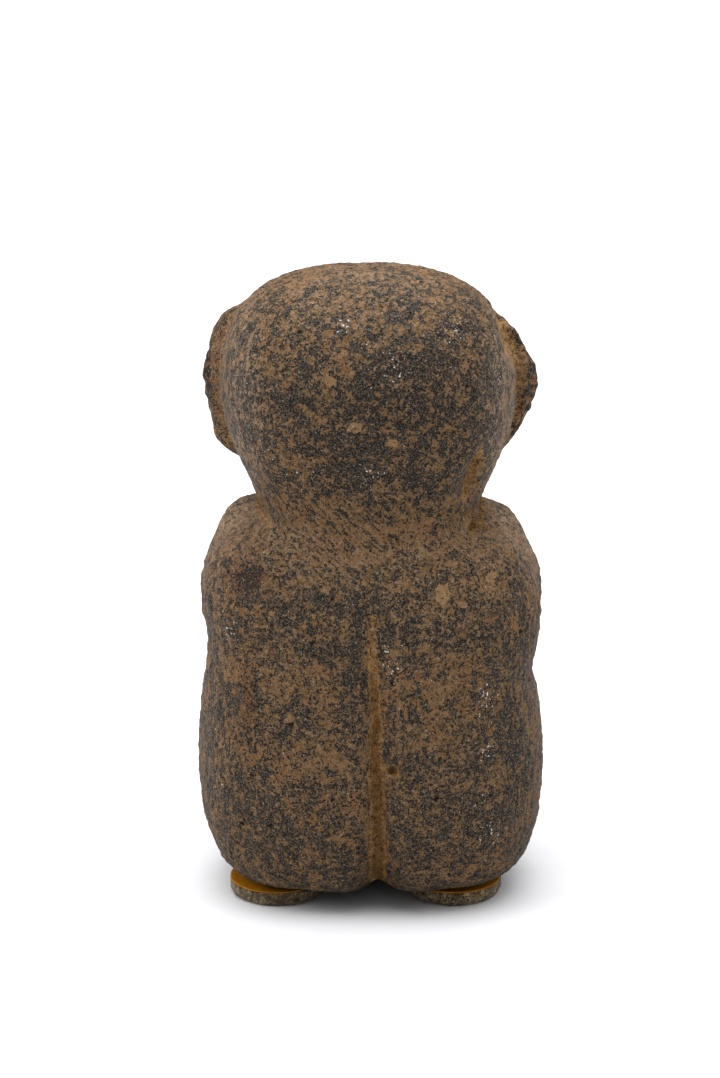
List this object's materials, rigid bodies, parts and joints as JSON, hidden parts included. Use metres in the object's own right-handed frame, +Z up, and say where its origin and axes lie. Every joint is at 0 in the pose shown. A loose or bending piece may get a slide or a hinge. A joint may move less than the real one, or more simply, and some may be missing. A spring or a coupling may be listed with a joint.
{
  "type": "seated stone figure",
  "caption": "Small squatting figure carved from one block of dark volcanic stone, with flanged ears and hands on its knees, propped at the back on felt pads.",
  "frame": {"origin": "on the surface that the figure stands on, in the middle of its outline seen from above", "axes": "+Z up, -Y the way the figure faces, +X to the figure's own left"},
  "size_m": [0.0906, 0.0828, 0.164],
  "materials": {
    "stone": "pecked and worn smooth, brown earth in the pits",
    "left_felt": "pressed wool felt",
    "right_felt": "pressed wool felt"
  },
  "bodies": {
    "root": {"stone_figure": "stone", "left_felt_pad": "left_felt", "right_felt_pad": "right_felt"}
  },
  "joints": []
}
